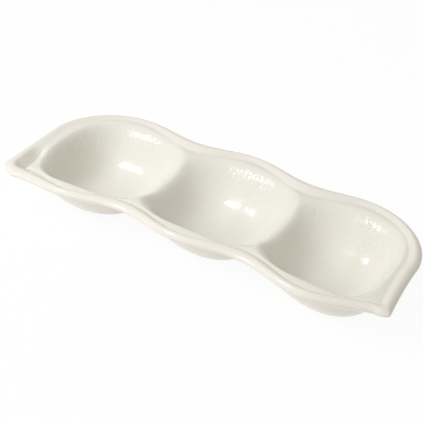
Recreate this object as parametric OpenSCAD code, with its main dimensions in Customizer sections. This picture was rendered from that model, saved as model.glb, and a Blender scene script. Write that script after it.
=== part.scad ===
// Three-compartment serving dish in the form of an open pea pod.
// Three round bowls stand in a row and run into each other over low saddles.
// A soft lip follows the wavy outline and closes in a tip at each front corner.
// Lengths are in millimetres. X runs along the row, Y to the back, Z up.
// The origin is on the table, under the middle of the dish's box.

/* [Overall] */
// Distance between the centres of neighbouring bowls
pitch = 101; // [90:1:112]
// Height of the lip's top above the table
height = 41.5; // [39:0.5:50]
// How far the middle bowl sits behind the line through the end bowls
bow = 3.2; // [0:0.2:6]

/* [Outline] */
// Mean distance from the row's axis to the back edge
back_reach = 55; // [54:0.2:60]
// How far the back edge swings out at a bowl and in at a waist
back_wave = 3.3; // [1:0.1:5]
// Mean distance from the row's axis to the front edge
front_reach = 54.6; // [53:0.2:60]
// How far the front edge swings out at a bowl and in at a waist
front_wave = 3.4; // [1:0.1:5]
// Distance from an end bowl's centre to the end of the dish
end_reach = 57.5; // [57:0.5:64]
// Where the round back shoulder runs out into the straight end, behind the axis
shoulder_end = 11; // [0:0.5:16]

/* [Tips] */
// How far the left tip stands out past the left end
left_tip_out = 1; // [0:0.5:8]
// How far the right tip stands out past the right end
right_tip_out = 5; // [0:0.5:8]
// How far in front of the axis the left tip starts to turn
left_tip_start = 41; // [36:0.5:44]
// How far in front of the axis the right tip starts to turn
right_tip_start = 37; // [34:0.5:38]
// Length of the left tip's turn along the front edge
left_tip_turn = 16.5; // [8:0.5:18]
// Length of the right tip's turn along the front edge
right_tip_turn = 10.5; // [6:0.5:14]
// How far the front edge swells towards the left tip
left_tip_swell = 6; // [0:0.5:8]
// How far the front edge draws in towards the right tip
right_tip_draw = 9.5; // [4:0.5:10]

/* [Bowls] */
// Thickness of a bowl's floor
floor_thick = 6; // [4:0.5:9]
// Thickness of the clay wall
wall = 4.5; // [3.5:0.25:6]
// How far the hollows lie to the right of the bowls' middles
hollow_shift = 4; // [0:0.5:5]
// How far a bowl's hollow reaches past the middle of a saddle, before it is shifted
saddle_reach = 8; // [5:0.5:10]
// Width of the ledge between an end bowl's mouth and the groove at the end
ledge_end = 1.5; // [0.5:0.25:4]
// Width of the ledge between a bowl's mouth and the groove at the front
ledge_front = 6.2; // [4:0.2:9]
// Width of the ledge between a bowl's mouth and the groove at the back
ledge_back = 2; // [1:0.25:5]
// Extra fullness of a bowl's outside
belly = 2; // [0:0.25:4]
// How far a bowl's outside reaches past the middle of a saddle
belly_reach = 6; // [4:0.5:8]

/* [Lip] */
// Width of the lip beside a bowl
lip_bulge = 7.3; // [6:0.1:8.5]
// Width of the lip at a waist
lip_waist = 11.3; // [9:0.1:13]
// Width of the lip where the shoulders run out into the ends
lip_end = 10; // [8:0.1:11]
// Width of the end lip beside the left tip
lip_left_end = 15; // [9:0.5:16]
// Width of the end lip beside the right tip
lip_right_end = 10.5; // [9:0.5:12]
// Width of the front lip beside the left tip
lip_left_tip = 16; // [10:0.5:18]
// Width of the front lip beside the right tip
lip_right_tip = 8; // [6:0.5:10]
// Thickness of the lip from its top to its underside
lip_thick = 6.6; // [5:0.1:7.5]
// Depth of the ledge below the lip's top beside a bowl
ledge_drop = 2.4; // [1.6:0.1:3.2]
// Depth of the ledge below the lip's top at a waist
ledge_waist_drop = 3.3; // [2.5:0.1:4]
// Depth of the ledge below the lip's top round the left end
ledge_left_drop = 0.8; // [0.4:0.1:3.2]
// Depth of the groove below the ledge
groove_cut = 0.7; // [0.3:0.1:1.2]
// Depth of the pocket below the ledge behind the left tip
pocket_cut = 3; // [1.2:0.2:3.4]
// Radius of the groove where it turns at a tip
groove_turn = 4; // [2:0.5:6]

/* [Feet] */
// Outer radius of a foot ring
foot_radius = 19; // [15:0.5:21]
// Width of a foot ring
foot_width = 4; // [3:0.25:6]
// Height of a foot ring
foot_height = 1.5; // [1:0.1:2.5]

/* [Hidden] */

glaze = "#ECE8DC";
bare_clay = "#D9CBB5";
$fn = 64;

// Steps along each stretch of the outline, from the middle of the back to the middle of the front
half_bay_steps = 6;
shoulder_steps = 9;
end_steps = 4;
corner_steps = 4;
draw_steps = 6;
// Steps across the dish at a saddle
saddle_steps = 10;

// Indexes in the outline at which each stretch starts, on the right half
back_waist = half_bay_steps;
back_peak = 2*half_bay_steps;
end_start = back_peak + shoulder_steps;
corner_start = end_start + end_steps;
front_start = corner_start + corner_steps;
front_peak = front_start + draw_steps;
front_waist = front_peak + half_bay_steps;
front_middle = front_waist + half_bay_steps;
outline_count = 2*front_middle;
// How late the straight end turns out towards its tip
end_power = 1.5;
// A tip piece takes in this many steps of the straight end and of the front edge
tip_end_steps = 2;
tip_draw_steps = 2;

// Shape of a bowl: how flat its floor is across and along the row and how full its belly is below,
// then how square its mouth and belly are
floor_power = 3;
side_power = 4.2;
belly_powers = [3.4, 3.5, 3.9];
front_square_power = 3;
back_square_power = 2.6;
belly_square_power = 2.3;
// Softness of the turn from a wall out to the ledge: at the front, elsewhere, and over a saddle
front_softness = 1.2;
wall_softness = 2.4;
saddle_softness = 2.8;
// Softness of the roll from a belly to the lip and to the underside of a saddle
belly_roll_share = 0.35;
under_saddle_share = 0.9;

base_z = foot_height - height;
floor_depth = -base_z - floor_thick;
// Half the length and width of a bowl's mouth: towards its neighbour, the end, the front and the back
mouth_inner = pitch/2 + saddle_reach;
belly_inner = pitch/2 + belly_reach;
mouth_end = end_reach - lip_end - ledge_end;
mouth_front = front_reach + front_wave - lip_bulge - ledge_front;
mouth_back = back_reach + back_wave - lip_bulge - ledge_back;
// The outside of a bowl would reach this far below the base if it were not ground flat
ground_off = 3;
rim_depth = ledge_waist_drop + wall;
belly_depth = -base_z - rim_depth + ground_off;
// Ground flat under each bowl, a little wider than its foot ring
flat_margin = 3;
flat_radius = foot_radius + flat_margin;
// Rings of a bowl: shares of the way across its floor, up its wall and over its ledge
floor_shares = [0.5, 1];
wall_shares = [0.3, 0.55, 0.75, 0.9, 1];
ledge_shares = [0.5, 1];
// The mouth ends at the latest at this share of a ray
mouth_limit = 0.94;
// Section of the lip, in shares of its width from edge to groove: slope, crown, brow, jaw and seat
slope_share = 0.74;
crown_share = 0.5;
brow_share = 0.22;
jaw_share = 0.1;
under_share = 0.4;
// Heights there, in shares of the groove's depth for the slope and of the lip's thickness for the rest
slope_height_share = 0.45;
brow_drop_share = 0.1;
nose_drop_share = 0.42;
jaw_drop_share = 0.82;

bowl_x = [-pitch, 0, pitch];
tiny = 0.001;

function mix(a, b, share) = a + (b - a)*share;
function within(share) = min(1, max(0, share));
function eased(share) = let (s = within(share)) s*s*(3 - 2*s);
function wave(x) = cos(360*x/pitch);
function side_pick(side, left, right) = side > 0 ? right : left;
function tip_x(side) = pitch + end_reach + side_pick(side, left_tip_out, right_tip_out);
function tip_start(side) = side_pick(side, left_tip_start, right_tip_start);
function tip_turn(side) = side_pick(side, left_tip_turn, right_tip_turn);
function tip_lip(side) = side_pick(side, lip_left_tip, lip_right_tip);
function tip_end_lip(side) = side_pick(side, lip_left_end, lip_right_end);
function front_pull(side) = side_pick(side, -left_tip_swell, right_tip_draw);
function past_peak(x, stop) = max(0, x - pitch)/(stop - pitch);

// Width of the lip at x, which is measured away from the middle of the row
function bay_lip(x) = mix(lip_waist, lip_bulge, (1 + wave(x))/2);
function front_lip_width(side, x) =
    x < pitch ? bay_lip(x) : mix(lip_bulge, tip_lip(side), past_peak(x, tip_x(side)));

// Two lines run round the dish: its edge, and the groove inside the lip (inner = 1)
function back_y(x, inner) = back_reach + back_wave*wave(x) - inner*bay_lip(x);
function front_y(side, x, inner) =
    -(front_reach + front_wave*wave(x)) + front_pull(side)*pow(past_peak(x, 1.5*pitch), 2)
    + inner*front_lip_width(side, x);
function turn(side, inner) = inner > 0 ? groove_turn : tip_turn(side);
function corner_x(side, inner) = tip_x(side) - inner*tip_end_lip(side);
function corner_last_x(side, inner) = corner_x(side, inner) - turn(side, inner);
function corner_last_y(side, inner) = front_y(side, corner_last_x(side, inner), inner);
function corner_first_y(side, inner) =
    inner > 0 ? corner_last_y(side, inner) + groove_turn : -tip_start(side);

function back_point(side, x, inner) = [side*x, back_y(x, inner)];
function front_point(side, x, inner) = [side*x, front_y(side, x, inner)];
function shoulder_point(side, share, inner) = [
    side*(pitch + (end_reach - inner*lip_end)*sin(90*share)),
    mix(shoulder_end, back_y(pitch, inner), cos(90*share))
];
function end_point(side, share, inner) = [
    side*(mix(pitch + end_reach, tip_x(side), pow(share, end_power))
        - inner*mix(lip_end, tip_end_lip(side), share)),
    mix(shoulder_end, corner_first_y(side, inner), share)
];
function corner_point(side, share, inner) = [
    side*(corner_x(side, inner) - turn(side, inner)*(1 - cos(90*share))),
    mix(corner_first_y(side, inner), corner_last_y(side, inner), sin(90*share))
];
function half_line(side, inner) = concat(
    [for (i = [0 : back_peak - 1]) back_point(side, pitch*i/back_peak, inner)],
    [for (i = [0 : shoulder_steps - 1]) shoulder_point(side, i/shoulder_steps, inner)],
    [for (i = [0 : end_steps - 1]) end_point(side, i/end_steps, inner)],
    [for (i = [0 : corner_steps - 1]) corner_point(side, i/corner_steps, inner)],
    [for (i = [0 : draw_steps - 1])
        front_point(side, mix(corner_last_x(side, inner), pitch, i/draw_steps), inner)],
    [for (i = [0 : back_peak]) front_point(side, pitch*(1 - i/back_peak), inner)]
);
// A whole line, clockwise as seen from above, from the middle of the back
function whole_line(inner) =
    let (left = half_line(-1, inner))
    concat(half_line(1, inner), [for (i = [front_middle - 1 : -1 : 1]) left[i]]);
edge = whole_line(0);
groove = whole_line(1);
function wrapped(i) = (i + outline_count) % outline_count;
function edge_at(i) = edge[wrapped(i)];
function groove_at(i) = groove[wrapped(i)];
function seat_at(i) = mix(edge_at(i), groove_at(i), under_share);

// How deep the ledge and the groove lie at a place of the outline. Round the left end the ledge rises
// and the groove runs out; behind the left tip the groove widens into a pocket.
right_tip_first = corner_start - tip_end_steps;
right_tip_last = front_start + tip_draw_steps;
function on_left(i) = wrapped(i) > front_middle;
function half_place(i) = on_left(i) ? outline_count - wrapped(i) : wrapped(i);
function bay_x(h) = h < back_peak ? pitch*h/back_peak : pitch*max(0, h - front_peak)/back_peak;
function left_rise(i) =
    let (h = half_place(i))
    on_left(i) ? within(min((h - back_peak)/shoulder_steps, (corner_start - h)/tip_end_steps)) : 0;
function pocket(i) =
    let (h = half_place(i))
    on_left(i) ? within(min((h - right_tip_first)/tip_end_steps, (right_tip_last - h)/tip_draw_steps)) : 0;
function ledge_at(i) =
    mix(mix(ledge_waist_drop, ledge_drop, (1 + wave(bay_x(half_place(i))))/2), ledge_left_drop, left_rise(i));
function cut_at(i) = mix(groove_cut*(1 - left_rise(i)), pocket_cut, pocket(i));

// Depth of the hollows at a point, as a share of the full depth
function rolled(u, roll) =
    (u <= 0 ? 0 : u < roll ? u*u/(2*roll) : u - roll/2)/(1 - roll/2);
function mouth_ratio(dx, dy, outward, outside) =
    let (
        power = outside ? belly_square_power : dy > 0 ? back_square_power : front_square_power,
        grow = outside ? wall + belly : 0,
        half_end = outside || dx < 0 ? mouth_end : mouth_end - hollow_shift,
        half_x = (outward ? half_end : outside ? belly_inner : mouth_inner) + grow,
        half_y = (dy > 0 ? mouth_back : mouth_front) + grow
    )
    pow(pow(abs(dx)/half_x, power) + pow(abs(dy)/half_y, power), 1/power);
function hollow_middle(bowl, outside) = [bowl_x[bowl] + (outside ? 0 : hollow_shift), 0];
function hollow(bowl, p, outside) =
    let (
        from_middle = p - hollow_middle(bowl, outside),
        reach = max(norm(from_middle), tiny),
        outward = from_middle[0]*bowl_x[bowl] > 0,
        ratio = mouth_ratio(from_middle[0], from_middle[1], outward, outside),
        along_row = pow(from_middle[0]/reach, 2),
        belly_roll = mix(belly_roll_share, under_saddle_share, outward ? 0 : along_row),
        rise = max(0, 1 - pow(ratio, mix(floor_power, side_power, along_row))),
        softness = mix(wall_softness, front_softness, eased(-from_middle[1]/reach))
    )
    outside
        ? rolled(1 - pow(ratio, belly_powers[bowl]), belly_roll)
        : pow(rise, mix(softness, outward ? wall_softness : saddle_softness, along_row));
function hollows(p, outside) = hollow(0, p, outside) + hollow(1, p, outside) + hollow(2, p, outside);
function top_z(p, ledge) = -mix(ledge, floor_depth, hollows(p, false));
function on_flat(p) = min([for (x = bowl_x) norm(p - [x, 0])]) < flat_radius + tiny;
function under_z(p) =
    on_flat(p) ? base_z : max(base_z, -rim_depth - belly_depth*hollows(p, true));

// The row is bowed a little, so that both tips come forward
function bowed_y(x, y) = y - bow*pow(x/pitch, 2);
function placed(p, z) = [p[0] - box_middle[0], bowed_y(p[0], p[1]) - box_middle[1], z + height];
bowed_edge = [for (p = edge) [p[0], bowed_y(p[0], p[1])]];
function middle_of(axis) =
    let (values = [for (p = bowed_edge) p[axis]])
    (min(values) + max(values))/2;
box_middle = [middle_of(0), middle_of(1)];

// Spots where the rays of a bowl end, clockwise, as [x, y, depth of the ledge, depth of the groove]:
// on the groove above or on the lip's seat below, and across the dish at a saddle
back_waist_y = groove_at(back_waist)[1];
front_waist_y = groove_at(front_waist)[1];
function saddle_spots(x, from_y, to_y) =
    [for (j = [1 : saddle_steps - 1]) [x, mix(from_y, to_y, j/saddle_steps), ledge_waist_drop, 0]];
function run(first, last, below) = [for (i = [first : last])
    concat(below ? seat_at(i) : groove_at(i), [ledge_at(i), cut_at(i)])];
function rim(bowl, below) =
    bowl == 0 ? concat(
        run(outline_count - front_waist, outline_count - back_waist, below),
        saddle_spots(-pitch/2, back_waist_y, front_waist_y)
    ) :
    bowl == 1 ? concat(
        run(-back_waist, back_waist, below),
        saddle_spots(pitch/2, back_waist_y, front_waist_y),
        run(front_waist, outline_count - front_waist, below),
        saddle_spots(-pitch/2, front_waist_y, back_waist_y)
    ) :
    concat(
        run(back_waist, front_waist, below),
        saddle_spots(pitch/2, front_waist_y, back_waist_y)
    );

// Places along a ray: over the floor, up the wall to the mouth, and over the ledge
function ray_reaches(bowl, ray, below) =
    let (
        way = ray/norm(ray),
        mouth = 1/mouth_ratio(way[0], way[1], way[0]*bowl_x[bowl] > 0, below),
        stop = min(mouth, mouth_limit*norm(ray))
    )
    concat(
        [for (s = floor_shares) s*flat_radius],
        [for (s = wall_shares) mix(flat_radius, stop, s)],
        [for (s = ledge_shares) mix(stop, norm(ray), s)]
    );
function ray_points(bowl, spot, below) =
    let (
        middle = hollow_middle(bowl, below),
        ray = [spot[0], spot[1]] - middle,
        reaches = ray_reaches(bowl, ray, below),
        last = len(reaches) - 1
    )
    [for (j = [0 : last])
        let (p = middle + reaches[j]*ray/norm(ray))
        placed(p, below ? under_z(p) : top_z(p, spot[2]) - (j == last ? spot[3] : 0))];

// One bowl as a closed shell: rays from its middle to its rim, above and below
module bowl_shell(bowl) {
    above = [for (spot = rim(bowl, false)) ray_points(bowl, spot, false)];
    below = [for (spot = rim(bowl, true)) ray_points(bowl, spot, true)];
    rays = len(above);
    rings = len(above[0]);
    points = concat(
        [for (ray = above) each ray],
        [for (ray = below) each ray],
        [placed(hollow_middle(bowl, false), -floor_depth), placed(hollow_middle(bowl, true), base_z)]
    );
    under = rays*rings;
    top_centre = 2*under;
    under_centre = top_centre + 1;
    function at(k, j) = (k % rays)*rings + j;
    faces = concat(
        [for (k = [0 : rays - 1]) [top_centre, at(k, 0), at(k + 1, 0)]],
        [for (k = [0 : rays - 1]) [under_centre, under + at(k + 1, 0), under + at(k, 0)]],
        [for (k = [0 : rays - 1]) for (j = [0 : rings - 2]) each [
            [at(k, j), at(k, j + 1), at(k + 1, j + 1)],
            [at(k, j), at(k + 1, j + 1), at(k + 1, j)],
            [under + at(k, j), under + at(k + 1, j + 1), under + at(k, j + 1)],
            [under + at(k, j), under + at(k + 1, j), under + at(k + 1, j + 1)]
        ]],
        [for (k = [0 : rays - 1]) let (j = rings - 1) each [
            [at(k + 1, j), at(k, j), under + at(k, j)],
            [at(k + 1, j), under + at(k, j), under + at(k + 1, j)]
        ]]
    );
    polyhedron(points, faces, convexity = 8);
}

// Section of the lip as [share of the way from edge to groove, height], from the groove over the
// crown and round the edge to the seat
function lip_section(groove_z, seat) = [
    [1, groove_z],
    [slope_share, slope_height_share*groove_z],
    [crown_share, 0],
    [brow_share, -brow_drop_share*lip_thick],
    [0, -nose_drop_share*lip_thick],
    [jaw_share, -jaw_drop_share*lip_thick],
    [under_share, seat]
];

// A length of lip between two places of the outline
module lip_run(first, last) {
    sides = len(lip_section(0, 0));
    runs = last - first;
    points = [for (i = [first : last])
        for (s = lip_section(top_z(groove_at(i), ledge_at(i)) - cut_at(i), under_z(seat_at(i))))
        placed(mix(edge_at(i), groove_at(i), s[0]), s[1])];
    function at(k, j) = k*sides + j % sides;
    faces = concat(
        [for (k = [0 : runs - 1]) for (j = [0 : sides - 1]) each [
            [at(k, j), at(k, j + 1), at(k + 1, j + 1)],
            [at(k, j), at(k + 1, j + 1), at(k + 1, j)]
        ]],
        [for (j = [0 : sides - 3]) [at(0, sides - 1), at(0, j + 1), at(0, j)]],
        [for (j = [0 : sides - 3]) [at(runs, sides - 1), at(runs, j), at(runs, j + 1)]]
    );
    polyhedron(points, faces, convexity = 8);
}

module foot_ring(bowl) {
    spot = placed([bowl_x[bowl], 0], -height);
    translate(spot)
        rotate_extrude()
            translate([foot_radius - foot_width, 0])
                square([foot_width, foot_height]);
}

module left_bowl() { color(glaze) bowl_shell(0); }
module middle_bowl() { color(glaze) bowl_shell(1); }
module right_bowl() { color(glaze) bowl_shell(2); }
module back_lip() { color(glaze) lip_run(-right_tip_first, right_tip_first); }
module front_lip() { color(glaze) lip_run(right_tip_last, outline_count - right_tip_last); }
module left_tip() { color(glaze) lip_run(outline_count - right_tip_last, outline_count - right_tip_first); }
module right_tip() { color(glaze) lip_run(right_tip_first, right_tip_last); }
module left_foot() { color(bare_clay) foot_ring(0); }
module middle_foot() { color(bare_clay) foot_ring(1); }
module right_foot() { color(bare_clay) foot_ring(2); }

left_bowl();
middle_bowl();
right_bowl();
back_lip();
front_lip();
left_tip();
right_tip();
left_foot();
middle_foot();
right_foot();
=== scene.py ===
import math

import bpy
import numpy as np
from mathutils import Matrix, Vector


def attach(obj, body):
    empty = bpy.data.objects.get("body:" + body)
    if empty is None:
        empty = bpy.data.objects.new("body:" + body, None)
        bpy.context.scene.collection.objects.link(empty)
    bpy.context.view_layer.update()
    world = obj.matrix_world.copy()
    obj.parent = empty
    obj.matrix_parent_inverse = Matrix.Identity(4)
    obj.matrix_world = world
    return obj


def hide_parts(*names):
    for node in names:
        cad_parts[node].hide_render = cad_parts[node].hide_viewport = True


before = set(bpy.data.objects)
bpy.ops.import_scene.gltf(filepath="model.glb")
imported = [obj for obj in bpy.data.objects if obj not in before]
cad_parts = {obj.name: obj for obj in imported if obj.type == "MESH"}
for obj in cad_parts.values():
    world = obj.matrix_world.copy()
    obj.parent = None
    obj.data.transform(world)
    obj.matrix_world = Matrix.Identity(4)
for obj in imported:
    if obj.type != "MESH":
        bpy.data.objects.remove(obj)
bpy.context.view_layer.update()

MM = 0.001

# Sizes of the dish in millimetres, as in the part's source
pitch = 101.0
height = 41.5
bow = 3.2
# The outline: X runs along the row of bowls, Y to the back, and Z up from the top of the lip
back_reach, back_wave = 55.0, 3.3
front_reach, front_wave = 54.6, 3.4
end_reach, shoulder_end, end_power = 57.5, 11.0, 1.5

# The front corners: how far a tip stands out, where and how far it turns, and the pull on the front edge
LEFT, RIGHT = -1, 1
tip_out = {LEFT: 1.0, RIGHT: 5.0}
tip_start = {LEFT: 41.0, RIGHT: 37.0}
tip_turn = {LEFT: 16.5, RIGHT: 10.5}
tip_pull = {LEFT: -6.0, RIGHT: 9.5}
pull_end = 1.5*pitch

# The lip: its width along the outline, its thickness, and the depth of the ledge inside it
lip_bulge, lip_waist, lip_end = 7.3, 11.3, 10.0
tip_end_lip = {LEFT: 15.0, RIGHT: 10.5}
tip_front_lip = {LEFT: 16.0, RIGHT: 8.0}
lip_thick, groove_turn = 6.6, 4.0
ledge_drop, ledge_waist, ledge_left = 2.4, 3.3, 0.8
# The edge is drawn in by this much, so that the rounded lip stays within the solids' box
edge_inset = 0.1

# The bowls: thicknesses, how far hollows and bellies reach past a saddle, widths of the ledge, and feet
wall, belly, floor_thick = 4.5, 2.0, 6.0
hollow_shift, saddle_reach, belly_reach = 4.0, 8.0, 6.0
ledge_end, ledge_front, ledge_back = 1.5, 6.2, 2.0
foot_radius, foot_width, foot_height = 19.0, 4.0, 1.5
flat_margin, ground_off = 3.0, 3.0

# How flat a bowl's floor is across and along the row, and how full each belly is
floor_power, side_power, belly_powers = 3.0, 4.2, (3.4, 3.5, 3.9)
# How square mouth and belly are, the mouth's front corners a little more than in the solids
front_square, back_square, belly_square = 3.4, 2.6, 2.3
# How soft the wall turns to the ledge, and the belly to the lip and to its neighbour
front_softness, wall_softness, saddle_softness = 1.2, 2.4, 2.8
belly_roll, under_saddle = 0.35, 0.9

# Sizes that follow from these
bowl_x = (-pitch, 0.0, pitch)
mouth_inner = pitch/2 + saddle_reach
belly_inner = pitch/2 + belly_reach
mouth_end = end_reach - lip_end - ledge_end
mouth_front = front_reach + front_wave - lip_bulge - ledge_front
mouth_back = back_reach + back_wave - lip_bulge - ledge_back
base_z = foot_height - height
floor_depth = -base_z - floor_thick
rim_depth = ledge_waist + wall
belly_depth = -base_z - rim_depth + ground_off
flat_radius = foot_radius + flat_margin
# A length that counts as none
tiny = 0.001

# Steps in each stretch of the outline and over a saddle, FINE times as many as in the solids
FINE = 4
bay_steps, shoulder_steps, end_steps = 12*FINE, 9*FINE, 4*FINE
corner_steps, draw_steps, saddle_steps = 4*FINE, 6*FINE, 10*FINE
tip_steps = 2*FINE
# Places along one half of the outline, counted from the middle of the back to the middle of the front
back_waist = bay_steps//2
back_peak = bay_steps
end_start = back_peak + shoulder_steps
corner_start = end_start + end_steps
front_start = corner_start + corner_steps
front_peak = front_start + draw_steps
front_waist = front_peak + bay_steps//2
front_middle = front_peak + bay_steps
around = 2*front_middle
tip_first = corner_start - tip_steps
tip_last = front_start + tip_steps


def mix(a, b, share):
    return a + (b - a)*share


def eased(share):
    share = np.clip(share, 0, 1)
    return share*share*(3 - 2*share)


def steps(count):
    return np.arange(count)/count


def wave(x):
    return np.cos(2*np.pi*x/pitch)


# The edge of the dish (inner = 0) and the groove inside its lip (inner = 1)
def tip_x(side):
    return pitch + end_reach + tip_out[side]


def past_peak(x, stop):
    """Share of the way from the peak beside an outer bowl to the stop."""
    return np.maximum(0, x - pitch)/(stop - pitch)


def bay_lip(x):
    return mix(lip_waist, lip_bulge, (1 + wave(x))/2)


def back_y(x, inner):
    return back_reach + back_wave*wave(x) - inner*bay_lip(x)


def front_y(side, x, inner):
    tip_lip = mix(lip_bulge, tip_front_lip[side], past_peak(x, tip_x(side)))
    lip = np.where(x < pitch, bay_lip(x), tip_lip)
    pull = tip_pull[side]*past_peak(x, pull_end)**2
    return -(front_reach + front_wave*wave(x)) + pull + inner*lip


def half_line(side, inner):
    """One half of a line, from the middle of the back round the end and tip to the middle in front."""
    turn = groove_turn if inner else tip_turn[side]
    corner_x = tip_x(side) - inner*tip_end_lip[side]
    last_x = corner_x - turn
    last_y = float(front_y(side, last_x, inner))
    first_y = last_y + groove_turn if inner else -tip_start[side]

    x = pitch*steps(bay_steps)
    back = np.stack([x, back_y(x, inner)], 1)
    angle = np.pi/2*steps(shoulder_steps)
    shoulder = np.stack([pitch + (end_reach - inner*lip_end)*np.sin(angle),
                         mix(shoulder_end, back_y(pitch, inner), np.cos(angle))], 1)
    share = steps(end_steps)
    end = np.stack([mix(pitch + end_reach, tip_x(side), share**end_power)
                    - inner*mix(lip_end, tip_end_lip[side], share),
                    mix(shoulder_end, first_y, share)], 1)
    angle = np.pi/2*steps(corner_steps)
    corner = np.stack([corner_x - turn*(1 - np.cos(angle)), mix(first_y, last_y, np.sin(angle))], 1)
    x = mix(last_x, pitch, steps(draw_steps))
    draw = np.stack([x, front_y(side, x, inner)], 1)
    x = pitch*(1 - np.arange(bay_steps + 1)/bay_steps)
    front = np.stack([x, front_y(side, x, inner)], 1)

    line = np.concatenate([back, shoulder, end, corner, draw, front])
    line[:, 0] *= side
    return line


def both_halves(right, left):
    """All the way round from the middle of the back, clockwise as seen from above."""
    return np.concatenate([right, left[front_middle - 1:0:-1]])


def bowed(p):
    """The row is bowed a little, so that both tips come forward."""
    return np.stack([p[..., 0], p[..., 1] - bow*(p[..., 0]/pitch)**2], -1)


edge, groove = [both_halves(half_line(RIGHT, inner), half_line(LEFT, inner)) for inner in (0, 1)]
# The frame's origin is under the middle of the box that the solids' outline fills
solid_edge = bowed(edge[::FINE])
box_middle = (solid_edge.min(0) + solid_edge.max(0))/2
edge += edge_inset*(groove - edge)/np.linalg.norm(groove - edge, axis=1)[:, None]


def placed(p, z):
    """Points in the frame, from their plan and their heights from the top of the lip."""
    plan = bowed(p) - box_middle
    return np.stack([plan[..., 0], plan[..., 1], z + height], -1)


# Cut and spread of the groove, and the ledge's fall below the lip, are given at these places of a half
given_places = (0, back_waist, back_peak, end_start, corner_start - end_steps//2,
                corner_start + corner_steps//2, front_start + draw_steps//2,
                front_peak, front_waist, front_middle)
# Behind the left tip the groove opens into a pocket, at these places in lengths of the end from its start
pocket_start, pocket_full, pocket_stop = 0.5, 0.75, 1.6
# The groove's cut and the ledge's fall in the pocket
pocket_cut, pocket_ledge = 3.0, 3.3


def along_half(*values):
    return np.interp(np.arange(front_middle + 1), given_places, values)


def with_pocket(values, deep):
    share = (np.arange(front_middle + 1) - end_start)/end_steps
    pocket = eased((share - pocket_start)/(pocket_full - pocket_start))*(share < pocket_stop)
    return mix(values, deep, pocket)


groove_cut = both_halves(
    along_half(0.3, 0.5, 0.3, 0.3, 0.3, 0.3, 0.4, 0.6, 1.0, 0.7),
    with_pocket(along_half(0.2, 0.5, 0.1, 0.0, 0.0, 1.0, 0.9, 0.7, 1.0, 0.7), pocket_cut))
groove_spread = both_halves(
    along_half(3.0, 2.6, 3.0, 3.0, 3.0, 2.2, 2.0, 2.0, 1.7, 2.0),
    along_half(3.0, 2.6, 3.0, 3.0, 2.6, 2.6, 2.0, 2.0, 1.7, 2.0))
ledge_fall = both_halves(
    along_half(2.0, 2.8, 2.0, 2.2, 2.0, 1.8, 2.0, 2.2, ledge_waist, ledge_drop),
    with_pocket(along_half(2.0, 2.8, 1.4, ledge_left, ledge_left, 3.3, 2.6, 2.2, ledge_waist, ledge_drop),
                pocket_ledge))
# The ledge's height follows every stretch of the groove, the near ones most, softened by this area
ledge_blend = 0.5


# Heights of the dish over its plan
def rolled(u, roll):
    """A straight rise from 0 to 1, with its start rounded over the roll."""
    u = np.maximum(u, 0)
    return np.where(u < roll, u*u/(2*roll), u - roll/2)/(1 - roll/2)


def hollow_x(bowl, outside):
    """The middle of a bowl's outside, or of its hollow, which sits a little to the right of it."""
    return bowl_x[bowl] + (0 if outside else hollow_shift)


def mouth_ratio(dx, dy, outward, outside):
    """How far out a point lies, where 1 is the edge of a bowl's mouth, or of its belly if outside."""
    power = belly_square if outside else np.where(dy > 0, back_square, front_square)
    grow = wall + belly if outside else 0.0
    end = mouth_end if outside else np.where(dx > 0, mouth_end - hollow_shift, mouth_end)
    half_x = np.where(outward, end, belly_inner if outside else mouth_inner) + grow
    half_y = np.where(dy > 0, mouth_back, mouth_front) + grow
    return ((np.abs(dx)/half_x)**power + (np.abs(dy)/half_y)**power)**(1/power)


def hollows(p, outside):
    """Depth of the three hollows, or of the bellies below, as a share of the full depth."""
    total = 0
    for bowl, belly_power in enumerate(belly_powers):
        dx, dy = p[..., 0] - hollow_x(bowl, outside), p[..., 1]
        reach = np.maximum(np.hypot(dx, dy), tiny)
        outward = dx*bowl_x[bowl] > 0
        ratio = mouth_ratio(dx, dy, outward, outside)
        along_row = (dx/reach)**2
        if outside:
            roll = mix(belly_roll, under_saddle, np.where(outward, 0, along_row))
            total = total + rolled(1 - ratio**belly_power, roll)
        else:
            rise = np.maximum(0, 1 - ratio**mix(floor_power, side_power, along_row))
            softness = mix(wall_softness, front_softness, eased(-dy/reach))
            row_softness = np.where(outward, wall_softness, saddle_softness)
            total = total + rise**mix(softness, row_softness, along_row)
    return total


def top_z(p):
    """The upper surface: the ledge, sunk into the hollows and cut by the groove."""
    flat = p.reshape(-1, 2)
    distances = np.hypot(flat[:, None, 0] - groove[None, :, 0], flat[:, None, 1] - groove[None, :, 1])
    nearest = distances.argmin(1)
    distance = distances[np.arange(len(flat)), nearest]
    cut = groove_cut[nearest]*np.exp(-(distance/groove_spread[nearest])**2)
    weight = 1/(distances*distances + ledge_blend)**2
    fall = (weight*ledge_fall).sum(1)/weight.sum(1)
    return (-mix(fall, floor_depth, hollows(flat, False)) - cut).reshape(p.shape[:-1])


def under_z(p):
    """The underside: the bellies, ground flat over the feet."""
    z = np.maximum(base_z, -rim_depth - belly_depth*hollows(p, True))
    for x in bowl_x:
        z = np.where(np.hypot(p[..., 0] - x, p[..., 1]) < flat_radius + tiny, base_z, z)
    return z


# Each glazed piece is a closed skin: outer faces that show, and joint faces where it meets its neighbours
def grid_faces(rows, columns, first=0, closed=False, flip=False):
    """Faces between the rows of a grid of points, whose last row meets the first if closed."""
    k = np.arange(rows if closed else rows - 1)[:, None]
    j = np.arange(columns - 1)[None, :]
    after = (k + 1) % rows
    corners = [k*columns + j, k*columns + j + 1, after*columns + j + 1, after*columns + j]
    faces = np.stack([c + first for c in corners], -1).reshape(-1, 4)
    return faces[:, ::-1] if flip else faces


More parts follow.
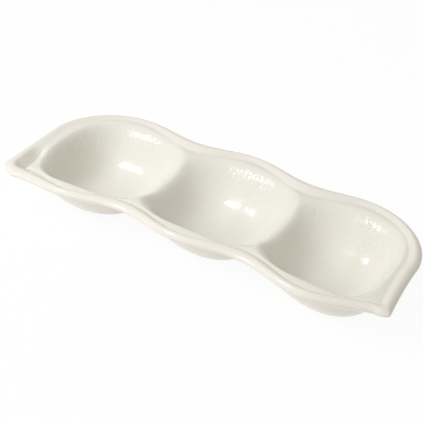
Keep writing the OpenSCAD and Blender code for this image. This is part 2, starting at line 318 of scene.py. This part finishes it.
# Bowls: rays run from the middle over the floor, up the wall to the mouth, and over the ledge to the rim
floor_count, wall_count, ledge_count = 6, 24, 9
wall_crowding = 0.8
floor_rings = np.linspace(0, 1, floor_count + 1)[1:]
wall_rings = np.sin(np.linspace(0, np.pi/2, wall_count + 1)[1:])**wall_crowding
ledge_rings = np.sin(np.linspace(0, np.pi/2, ledge_count + 1)[1:])
# The mouth ends at the latest at this share of a ray
mouth_limit = 0.94
# The glaze pools in a bowl, and from this share of its rings thins out to this much pooling at the rim
thinning_start, rim_pooling = 0.75, 0.5
# The lip's seat on the bowls, as a share of the way from the edge to the groove
under_share = 0.4
seat = mix(edge, groove, under_share)


def saddle_points(x, from_y, to_y):
    share = np.arange(1, saddle_steps)/saddle_steps
    return np.stack([np.full(saddle_steps - 1, x), mix(from_y, to_y, share)], 1)


def rim(bowl, below):
    """A bowl's rim in plan: runs of the groove, or of the seat below, closed along the saddles."""
    line = seat if below else groove
    back_end, front_end = groove[back_waist, 1], groove[front_waist, 1]

    def run(first, last):
        return line[np.arange(first, last + 1) % around]

    if bowl == 0:
        return np.concatenate([run(around - front_waist, around - back_waist),
                               saddle_points(-pitch/2, back_end, front_end)])
    if bowl == 2:
        return np.concatenate([run(back_waist, front_waist),
                               saddle_points(pitch/2, front_end, back_end)])
    return np.concatenate([run(-back_waist, back_waist),
                           saddle_points(pitch/2, back_end, front_end),
                           run(front_waist, around - front_waist),
                           saddle_points(-pitch/2, front_end, back_end)])


def ray_plan(bowl, below):
    """Points along each ray of a bowl in plan, one at every ring."""
    middle = np.array([hollow_x(bowl, below), 0.0])
    rays = rim(bowl, below) - middle
    length = np.linalg.norm(rays, axis=1)
    way = rays/length[:, None]
    mouth = 1/mouth_ratio(way[:, 0], way[:, 1], way[:, 0]*bowl_x[bowl] > 0, below)
    stop = np.minimum(mouth, mouth_limit*length)[:, None]
    reach = np.concatenate([
        np.repeat(floor_rings[None]*flat_radius, len(rays), 0),
        mix(flat_radius, stop, wall_rings[None]),
        mix(stop, length[:, None], ledge_rings[None])], 1)
    return middle + reach[..., None]*way[:, None, :]


def bowl_skin(bowl):
    """Points, outer faces, joint faces and pooling of a bowl."""
    above, below = ray_plan(bowl, False), ray_plan(bowl, True)
    rays, rings = above.shape[:2]
    middle = np.array([[hollow_x(bowl, False), 0.0]])
    under_middle = np.array([[hollow_x(bowl, True), 0.0]])
    points = np.concatenate([
        placed(above, top_z(above)).reshape(-1, 3), placed(below, under_z(below)).reshape(-1, 3),
        placed(middle, top_z(middle)), placed(under_middle, under_z(under_middle))])
    under = rays*rings
    top_centre, under_centre = 2*under, 2*under + 1
    k = np.arange(rays)*rings
    after = np.roll(k, -1)
    skin = np.concatenate([grid_faces(rays, rings, 0, True), grid_faces(rays, rings, under, True, True)])
    caps = np.concatenate([np.stack([np.full(rays, top_centre), k, after], 1),
                           np.stack([np.full(rays, under_centre), under + after, under + k], 1)])
    last = rings - 1
    joint = np.stack([after + last, k + last, under + k + last, under + after + last], 1)
    thinned = eased((np.arange(rings)/last - thinning_start)/(1 - thinning_start))
    pooling = np.zeros(len(points))
    pooling[:under] = np.tile(mix(1, rim_pooling, thinned), rays)
    pooling[top_centre] = 1
    return points, [skin, caps], [joint], pooling


# Section of the lip, in shares of its width from edge to groove: slope, crown, brow, nose and jaw
slope_share, crown_share, brow_share, nose_share, jaw_share = 0.74, 0.5, 0.22, 0.005, 0.1
# Heights there, in shares of the groove's depth for the slope and of the lip's thickness for the rest
slope_height_share, brow_drop_share, nose_drop_share, jaw_drop_share = 0.45, 0.1, 0.42, 0.82
# Points across the section, and over how many of them from the groove the pooled glaze thins out
lip_points, lip_thinning = 31, 8


def spline(control, samples):
    """A smooth line through the control points of each row."""
    before = control[:, :1]*2 - control[:, 1:2]
    after = control[:, -1:]*2 - control[:, -2:-1]
    line = np.concatenate([before, control, after], 1)
    spans = control.shape[1] - 1
    place = np.linspace(0, spans, samples)
    i = np.minimum(place.astype(int), spans - 1)
    t = (place - i)[None, :, None]
    a, b, c, d = line[:, i], line[:, i + 1], line[:, i + 2], line[:, i + 3]
    return 0.5*(2*b + (c - a)*t + (2*a - 5*b + 4*c - d)*t*t + (3*b - a - 3*c + d)*t**3)


def lip_sections():
    """The lip's section at every place of the outline, from the groove over the crown to the seat."""
    groove_z = top_z(groove)
    section = ((1, groove_z),
               (slope_share, slope_height_share*groove_z),
               (crown_share, 0),
               (brow_share, -brow_drop_share*lip_thick),
               (nose_share, -nose_drop_share*lip_thick),
               (jaw_share, -jaw_drop_share*lip_thick),
               (under_share, under_z(seat)))
    one = np.ones(around)
    control = np.stack([np.stack([share*one, z*one], 1) for share, z in section], 1)
    line = spline(control, lip_points)
    share = np.maximum(line[..., :1], 0)
    z = np.minimum(line[..., 1], 0)
    return placed(mix(edge[:, None], groove[:, None], share), z)


lip_around = lip_sections()


def lip_skin(first, last):
    """Points, outer faces, joint faces and pooling of a run of the lip."""
    run = lip_around[np.arange(first, last + 1) % around]
    rows, columns = run.shape[:2]
    k = np.arange(rows - 1)*columns
    after = k + columns
    joint = np.stack([k + columns - 1, k, after, after + columns - 1], 1)
    ends = [np.arange(columns)[::-1][None], ((rows - 1)*columns + np.arange(columns))[None]]
    pooling = np.tile(rim_pooling*eased(1 - np.arange(columns)/lip_thinning), rows)
    return run.reshape(-1, 3), [grid_faces(rows, columns)], [joint] + ends, pooling


bowl_names = ("left_bowl", "middle_bowl", "right_bowl")
lip_runs = {
    "back_lip": (-tip_first, tip_first),
    "front_lip": (tip_last, around - tip_last),
    "left_tip": (around - tip_last, around - tip_first),
    "right_tip": (tip_first, tip_last),
}
skins = {name: bowl_skin(bowl) for bowl, name in enumerate(bowl_names)}
skins.update({name: lip_skin(*run) for name, run in lip_runs.items()})


# One smooth skin: the normals run on over every joint between the glazed pieces
def face_normals(points, faces):
    """The normals of the faces, longer on larger ones, from two lines across each."""
    corners = faces.shape[1]
    if corners == 3:
        first, second = (0, 1), (0, 2)
    else:
        first, second = (0, corners//2), (corners//4, corners//2 + corners//4)
    along = [points[faces[:, stop]] - points[faces[:, start]] for start, stop in (first, second)]
    return np.cross(*along)


def unit(vectors):
    shortest = 1e-9
    return vectors/np.maximum(np.linalg.norm(vectors, axis=1), shortest)[:, None]


# Points of neighbouring pieces that agree to this many decimals count as one
joined_decimals = 3
joined = {}
skin_index = {}
for name, (points, _, _, _) in skins.items():
    keys = map(tuple, np.round(points, joined_decimals))
    skin_index[name] = np.array([joined.setdefault(key, len(joined)) for key in keys])
normal_sum = np.zeros((len(joined), 3))
for name, (points, outer, _, _) in skins.items():
    for faces in outer:
        cross = face_normals(points, faces)
        for corner in faces.T:
            np.add.at(normal_sum, skin_index[name][corner], cross)
skin_normals = unit(normal_sum)


def made_object(name, points, faces, material):
    mesh = bpy.data.meshes.new(name)
    mesh.from_pydata((points*MM).tolist(), [], faces)
    mesh.materials.append(material)
    piece = bpy.data.objects.new(name, mesh)
    bpy.context.scene.collection.objects.link(piece)
    return piece


def glazed_piece(name, material):
    points, outer, joint, pooling = skins[name]
    normals = skin_normals[skin_index[name]]
    faces, loops = [], []
    for group in outer:
        faces += group.tolist()
        loops += normals[group.reshape(-1)].tolist()
    for group in joint:
        faces += group.tolist()
        loops += np.repeat(unit(face_normals(points, group)), group.shape[1], 0).tolist()
    piece = made_object(name + "_glazed", points, faces, material)
    mesh = piece.data
    mesh.shade_smooth()
    mesh.normals_split_custom_set(loops)
    # The maker's fingers pull marks up the inner walls, strongest where these are steep and high
    steepness = 1 - normals[:, 2]**2
    pulled = pooling*steepness*(points[:, 2]/height)**2
    for label, values in (("pooling", pooling), ("pulled", pulled)):
        attribute = mesh.attributes.new(label, "FLOAT", "POINT")
        attribute.data.foreach_set("value", values.astype(np.float32))
    mesh.update()
    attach(piece, "root")
    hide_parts(name)


# Foot rings, ground flat below and rounded at their edges
foot_round, bend_points, foot_turns = 0.5, 5, 96


def foot_ring(name, bowl, material):
    inner, outer = foot_radius - foot_width, foot_radius
    bend = np.linspace(0, np.pi/2, bend_points)
    near, far = foot_round*(1 - np.cos(bend)), foot_round*(1 - np.sin(bend))
    radius = np.concatenate([[inner], inner + near, outer - far, [outer]])
    z = np.concatenate([[foot_height], far, near, [foot_height]])
    angle = 2*np.pi*steps(foot_turns)
    centre = placed(np.array([bowl_x[bowl], 0.0]), -height)
    points = np.stack([centre[0] + radius[None]*np.cos(angle)[:, None],
                       centre[1] + radius[None]*np.sin(angle)[:, None],
                       np.repeat(z[None], foot_turns, 0)], -1).reshape(-1, 3)
    count = len(radius)
    k = np.arange(foot_turns)*count
    after = np.roll(k, -1)
    top = np.stack([k + count - 1, after + count - 1, after, k], 1)
    faces = np.concatenate([grid_faces(foot_turns, count, 0, True, True), top])
    piece = made_object(name + "_ring", points, faces.tolist(), material)
    piece.data.shade_smooth()
    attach(piece, "root")
    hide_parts(name)


# Helpers for the finishes
def add(tree, kind, **values):
    made = tree.nodes.new(kind)
    for key, value in values.items():
        setattr(made, key, value)
    return made


def node_group(name, inputs, outputs):
    group = bpy.data.node_groups.new(name, "ShaderNodeTree")
    for in_out, sockets in (("INPUT", inputs), ("OUTPUT", outputs)):
        for label, kind in sockets.items():
            group.interface.new_socket(label, in_out=in_out, socket_type="NodeSocket" + kind)
    return group, add(group, "NodeGroupInput").outputs, add(group, "NodeGroupOutput").inputs


def feed(tree, value, socket):
    """A number or a row of numbers is set on the socket, and the output of a node is linked to it."""
    if isinstance(value, (float, tuple)):
        socket.default_value = value
    else:
        tree.links.new(value, socket)


def scaled(tree, vector, scale):
    made = add(tree, "ShaderNodeVectorMath", operation="MULTIPLY")
    feed(tree, vector, made.inputs[0])
    feed(tree, scale, made.inputs[1])
    return made.outputs[0]


def noise_at(tree, vector, scale, detail=2.0):
    made = add(tree, "ShaderNodeTexNoise")
    for label, value in (("Vector", vector), ("Scale", scale), ("Detail", detail)):
        feed(tree, value, made.inputs[label])
    return made.outputs["Fac"]


def spread(tree, value, from_min, from_max, to_min, to_max):
    made = add(tree, "ShaderNodeMapRange")
    limits = {"From Min": from_min, "From Max": from_max, "To Min": to_min, "To Max": to_max}
    for label, limit in limits.items():
        feed(tree, limit, made.inputs[label])
    feed(tree, value, made.inputs["Value"])
    return made.outputs[0]


def blended(tree, share, first, second):
    made = add(tree, "ShaderNodeMix", data_type="RGBA")
    feed(tree, share, made.inputs["Factor"])
    for identifier, colour in (("A_Color", first), ("B_Color", second)):
        feed(tree, colour, next(s for s in made.inputs if s.identifier == identifier))
    return next(s for s in made.outputs if s.identifier == "Result_Color")


def worked_out(tree, operation, first, second):
    made = add(tree, "ShaderNodeMath", operation=operation)
    feed(tree, first, made.inputs[0])
    feed(tree, second, made.inputs[1])
    return made.outputs[0]


# Glaze colour: a shade warmer where it runs thin over the lip than where it pools, with soft clouds
def glaze_colour_group():
    # Noise scales count per metre, and a band is the part of a noise's range that is used
    cloud_scale, cloud_band, cloud_share = 26.0, (0.35, 0.65), 0.35
    cloud_colour = (0.86, 0.825, 0.745, 1)
    patch_scale, patch_band, patch_reach = 60.0, (0.4, 0.7), (-0.12, 0.2)
    glossiest, dullest = 0.1, 0.17
    tree, given, result = node_group(
        "glaze_colour",
        {"Place": "Vector", "Pooling": "Float", "Thin": "Color", "Pooled": "Color"},
        {"Colour": "Color", "Roughness": "Float"})
    clouds = spread(tree, noise_at(tree, given["Place"], cloud_scale), *cloud_band, 0.0, 1.0)
    thin_patch = spread(tree, noise_at(tree, given["Place"], patch_scale), *patch_band, *patch_reach)
    pooled_share = add(tree, "ShaderNodeClamp")
    feed(tree, worked_out(tree, "SUBTRACT", given["Pooling"], thin_patch), pooled_share.inputs[0])
    body = blended(tree, pooled_share.outputs[0], given["Thin"], given["Pooled"])
    cloudy = blended(tree, worked_out(tree, "MULTIPLY", clouds, cloud_share), body, cloud_colour)
    feed(tree, cloudy, result["Colour"])
    feed(tree, spread(tree, clouds, 0.0, 1.0, glossiest, dullest), result["Roughness"])
    return tree


# Hand ripple: pull marks up the inner walls, over soft waves and a fine orange peel
def hand_ripple_group():
    streak_scale, streak_stretch, streak_share = 420.0, (1, 1, 0.1), 1.6
    wave_scale, wave_share = 45.0, 0.55
    peel_scale, peel_share = 420.0, 0.11
    tree, given, result = node_group(
        "hand_ripple", {"Place": "Vector", "Pulled": "Float"}, {"Height": "Float"})
    streaks = noise_at(tree, scaled(tree, given["Place"], streak_stretch), streak_scale)
    pull_marks = worked_out(tree, "MULTIPLY", streaks, given["Pulled"])
    pull_marks = worked_out(tree, "MULTIPLY", pull_marks, streak_share)
    waves = worked_out(tree, "MULTIPLY", noise_at(tree, given["Place"], wave_scale), wave_share)
    peel = worked_out(tree, "MULTIPLY", noise_at(tree, given["Place"], peel_scale), peel_share)
    ripple = worked_out(tree, "ADD", worked_out(tree, "ADD", pull_marks, waves), peel)
    feed(tree, ripple, result["Height"])
    return tree


# Bare clay: sandy grain with dark specks
def clay_grain_group():
    grain_scale = 900.0
    speck_scale, speck_detail, speck_band, speck_share = 500.0, 1.0, (0.62, 0.7), 0.7
    tree, given, result = node_group(
        "clay_grain", {"Place": "Vector", "Clay": "Color", "Speck": "Color"},
        {"Colour": "Color", "Height": "Float"})
    speckle = noise_at(tree, given["Place"], speck_scale, speck_detail)
    specks = spread(tree, speckle, *speck_band, 0.0, speck_share)
    feed(tree, blended(tree, specks, given["Clay"], given["Speck"]), result["Colour"])
    feed(tree, noise_at(tree, given["Place"], grain_scale), result["Height"])
    return tree


def finish_with(name, group_trees):
    """A new material with the object's coordinates led into each of its groups."""
    material = bpy.data.materials.new(name)
    material.use_nodes = True
    tree = material.node_tree
    place = add(tree, "ShaderNodeTexCoord")
    groups = []
    for group_tree in group_trees:
        group = add(tree, "ShaderNodeGroup", node_tree=group_tree)
        feed(tree, place.outputs["Object"], group.inputs["Place"])
        groups.append(group)
    return material, tree, tree.nodes["Principled BSDF"], groups


def bump_on(tree, shader, ripple, strength, distance):
    bump = add(tree, "ShaderNodeBump")
    for label, value in (("Height", ripple), ("Strength", strength), ("Distance", distance)):
        feed(tree, value, bump.inputs[label])
    feed(tree, bump.outputs[0], shader.inputs["Normal"])


def glaze_finish():
    thin_colour, pooled_colour = (0.82, 0.793, 0.715, 1), (0.82, 0.803, 0.725, 1)
    groups = (glaze_colour_group(), hand_ripple_group())
    material, tree, shader, (colour, ripple) = finish_with("glaze", groups)
    for label, group in (("pooling", colour), ("pulled", ripple)):
        attribute = add(tree, "ShaderNodeAttribute", attribute_name=label)
        feed(tree, attribute.outputs["Fac"], group.inputs[label.capitalize()])
    feed(tree, thin_colour, colour.inputs["Thin"])
    feed(tree, pooled_colour, colour.inputs["Pooled"])
    feed(tree, colour.outputs["Colour"], shader.inputs["Base Color"])
    feed(tree, colour.outputs["Roughness"], shader.inputs["Roughness"])
    bump_on(tree, shader, ripple.outputs["Height"], strength=0.3, distance=0.002)
    return material


def bare_clay_finish():
    clay_colour, speck_colour, clay_roughness = (0.65, 0.55, 0.42, 1), (0.35, 0.26, 0.18, 1), 0.9
    material, tree, shader, (grain,) = finish_with("bare_clay", (clay_grain_group(),))
    feed(tree, clay_colour, grain.inputs["Clay"])
    feed(tree, speck_colour, grain.inputs["Speck"])
    feed(tree, grain.outputs["Colour"], shader.inputs["Base Color"])
    feed(tree, clay_roughness, shader.inputs["Roughness"])
    bump_on(tree, shader, grain.outputs["Height"], strength=0.4, distance=0.0005)
    return material


glaze = glaze_finish()
bare_clay = bare_clay_finish()
for name in skins:
    glazed_piece(name, glaze)
for bowl, name in enumerate(("left_foot", "middle_foot", "right_foot")):
    foot_ring(name, bowl, bare_clay)

# Camera at the photograph's angle, which puts the middle of the row at this pixel
view_turn, view_tilt = math.radians(33.57), math.radians(35.9)
view_distance, pixels_per_mm, image_size = 800.0, 1.37, 423.0
row_centre_px = (216.6, 193.3)
sensor_width, clip_start = 36.0, 0.01
row_centre = Vector((-box_middle[0], -box_middle[1], height))*MM
to_right = Vector((math.cos(view_turn), math.sin(view_turn), 0))
away = Vector((-math.sin(view_turn), math.cos(view_turn), 0))
upright = Vector((0, 0, 1))
look = away*math.cos(view_tilt) - upright*math.sin(view_tilt)
image_up = away*math.sin(view_tilt) + upright*math.cos(view_tilt)
camera_data = bpy.data.cameras.new("camera")
camera = bpy.data.objects.new("camera", camera_data)
bpy.context.scene.collection.objects.link(camera)
stand = Matrix((to_right, image_up, -look)).transposed().to_4x4()
stand.translation = row_centre - look*view_distance*MM
camera.matrix_world = stand
camera_data.sensor_width = sensor_width
camera_data.lens = pixels_per_mm*view_distance/image_size*sensor_width
camera_data.clip_start = clip_start
camera_data.shift_x = (image_size/2 - row_centre_px[0])/image_size
camera_data.shift_y = (row_centre_px[1] - image_size/2)/image_size
bpy.context.scene.camera = camera
bpy.context.scene.view_settings.view_transform = "Standard"


# White paper floor: it keeps the shadow of the dish, and shows nearly white to the camera and in the glaze
def paper_finish():
    paper_colour, paper_glow = (0.96, 0.945, 0.92, 1), 0.94
    material = bpy.data.materials.new("white_paper")
    material.use_nodes = True
    tree = material.node_tree
    paper = tree.nodes["Principled BSDF"]
    feed(tree, paper_colour, paper.inputs["Base Color"])
    feed(tree, 1.0, paper.inputs["Roughness"])
    ray = add(tree, "ShaderNodeLightPath").outputs
    seen = worked_out(tree, "MAXIMUM", ray["Is Camera Ray"], ray["Is Glossy Ray"])
    seen = worked_out(tree, "MAXIMUM", seen, ray["Is Transmission Ray"])
    shown = add(tree, "ShaderNodeMixShader")
    feed(tree, worked_out(tree, "MULTIPLY", seen, paper_glow), shown.inputs[0])
    feed(tree, paper.outputs[0], shown.inputs[1])
    feed(tree, add(tree, "ShaderNodeEmission").outputs[0], shown.inputs[2])
    feed(tree, shown.outputs[0], tree.nodes["Material Output"].inputs["Surface"])
    return material


floor_reach = 4000.0
floor_corners = np.array([(-1, -1, 0), (1, -1, 0), (1, 1, 0), (-1, 1, 0)])*floor_reach
floor = made_object("floor", floor_corners, [(0, 1, 2, 3)], paper_finish())


# Soft light from all round, a shade warm, behind which the camera sees white
def studio_sky():
    sky_level, sky_colour, white = 0.54, (1, 0.97, 0.915, 1), (1, 1, 1, 1)
    world = bpy.data.worlds.new("studio")
    bpy.context.scene.world = world
    world.use_nodes = True
    tree = world.node_tree
    sky = tree.nodes["Background"]
    ray = add(tree, "ShaderNodeLightPath").outputs
    seen = worked_out(tree, "MAXIMUM", ray["Is Camera Ray"], ray["Is Transmission Ray"])
    feed(tree, spread(tree, seen, 0.0, 1.0, sky_level, 1.0), sky.inputs["Strength"])
    feed(tree, blended(tree, seen, sky_colour, white), sky.inputs["Color"])


# One cool light high on the camera's left, placed in metres
lamp_place = to_right*-0.89 + away*-0.2 + upright*0.92
lamp_colour = (0.925, 0.948, 1)


# A broad lamp shades the bowls, and a small one at the same place is mirrored in the glaze
def softbox(name, size, power, mirrored):
    data = bpy.data.lights.new(name, "AREA")
    data.size = size
    data.energy = power
    data.color = lamp_colour
    lamp = bpy.data.objects.new(name, data)
    bpy.context.scene.collection.objects.link(lamp)
    lamp.location = lamp_place
    lamp.rotation_euler = (-lamp_place).to_track_quat("-Z", "Y").to_euler()
    lamp.visible_glossy = mirrored


studio_sky()
softbox("key", size=0.8, power=9.0, mirrored=False)
softbox("window", size=0.15, power=2.1, mirrored=True)
